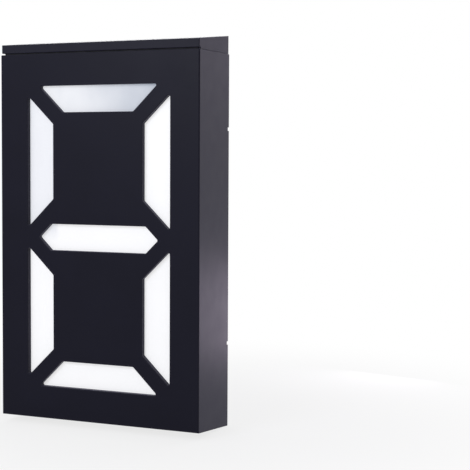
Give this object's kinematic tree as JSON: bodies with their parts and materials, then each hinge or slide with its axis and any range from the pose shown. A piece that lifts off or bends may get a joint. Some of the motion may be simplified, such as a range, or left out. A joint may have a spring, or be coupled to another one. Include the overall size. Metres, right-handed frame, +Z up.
{
  "type": "illuminated house number sign",
  "caption": "Black wall sign with a lit seven-bar figure, a wedge-shaped solar lid on top and slanted keyholes in its rear cover.",
  "frame": {"origin": "middle of the case's rear face, on the wall", "axes": "+Z up the wall, +Y into the wall, +X to the right as seen from the front; the lit face looks along -Y"},
  "size_m": [0.108, 0.04, 0.1955],
  "materials": {
    "case_black": "fine matt moulded black",
    "cover_black": "fine matt moulded black",
    "lid_black": "fine matt moulded black",
    "seal_rubber": "matt black rubber",
    "cup_grey": "matt grey",
    "opal": "opal white, lit from behind",
    "reflector_white": "matt white",
    "board_white": "white solder mask",
    "board_green": "green solder mask",
    "led_yellow": "yellow phosphor in a white case",
    "steel_screw": "zinc plated",
    "panel_back": "dark laminate",
    "solar_cell": "dark blue silicon with fine silver lines",
    "panel_clear": "clear resin face",
    "connector_white": "white nylon",
    "header_black": "black",
    "nylon_white": "white nylon",
    "chip_black": "black epoxy",
    "inductor_grey": "dark grey ferrite",
    "capacitor_sleeve": "dark blue sleeve",
    "holder_black": "black",
    "cell_sleeve": "plain green sleeve",
    "contact_nickel": "nickel plated spring strip",
    "tape_foam": "foam tape",
    "lead_red": "red insulation",
    "lead_black": "black insulation",
    "switch_steel": "tinned steel",
    "knob_black": "black"
  },
  "bodies": {
    "case": {"front_housing": "case_black", "rear_cover": "cover_black", "rear_seal": "seal_rubber", "keyhole_cups": "cup_grey", "diffuser_panel": "opal", "segment_reflector": "reflector_white", "led_board": "board_white", "segment_leds": "led_yellow", "board_screws": "steel_screw", "panel_socket": "connector_white", "battery_holder": "holder_black", "battery_cell": "cell_sleeve", "positive_contact": "contact_nickel", "negative_contact": "contact_nickel", "holder_tape": "tape_foam", "controller_board": "board_green", "board_standoffs": "nylon_white", "board_header": "header_black", "driver_chip": "chip_black", "power_inductor": "inductor_grey", "capacitors": "capacitor_sleeve", "battery_socket": "connector_white", "battery_plug": "connector_white", "switch_socket": "connector_white", "switch_plug": "connector_white", "battery_lead_red": "lead_red", "battery_lead_black": "lead_black", "switch_leads": "lead_black", "switch_case": "switch_steel", "switch_screws": "steel_screw"},
    "lid": {"solar_lid": "lid_black", "lid_seal": "seal_rubber", "panel_board": "panel_back", "solar_cells": "solar_cell", "panel_cover": "panel_clear", "panel_plug": "connector_white", "panel_lead_red": "lead_red", "panel_lead_black": "lead_black"},
    "knob": {"switch_knob": "knob_black"}
  },
  "joints": [
    {"name": "lid_lift", "type": "slide", "parent": "case", "child": "lid", "axis": [0, 0, 1], "range_m": [0, 0.045]},
    {"name": "switch_slide", "type": "slide", "parent": "case", "child": "knob", "axis": [1, 0, 0], "range_m": [0, 0.003]}
  ]
}
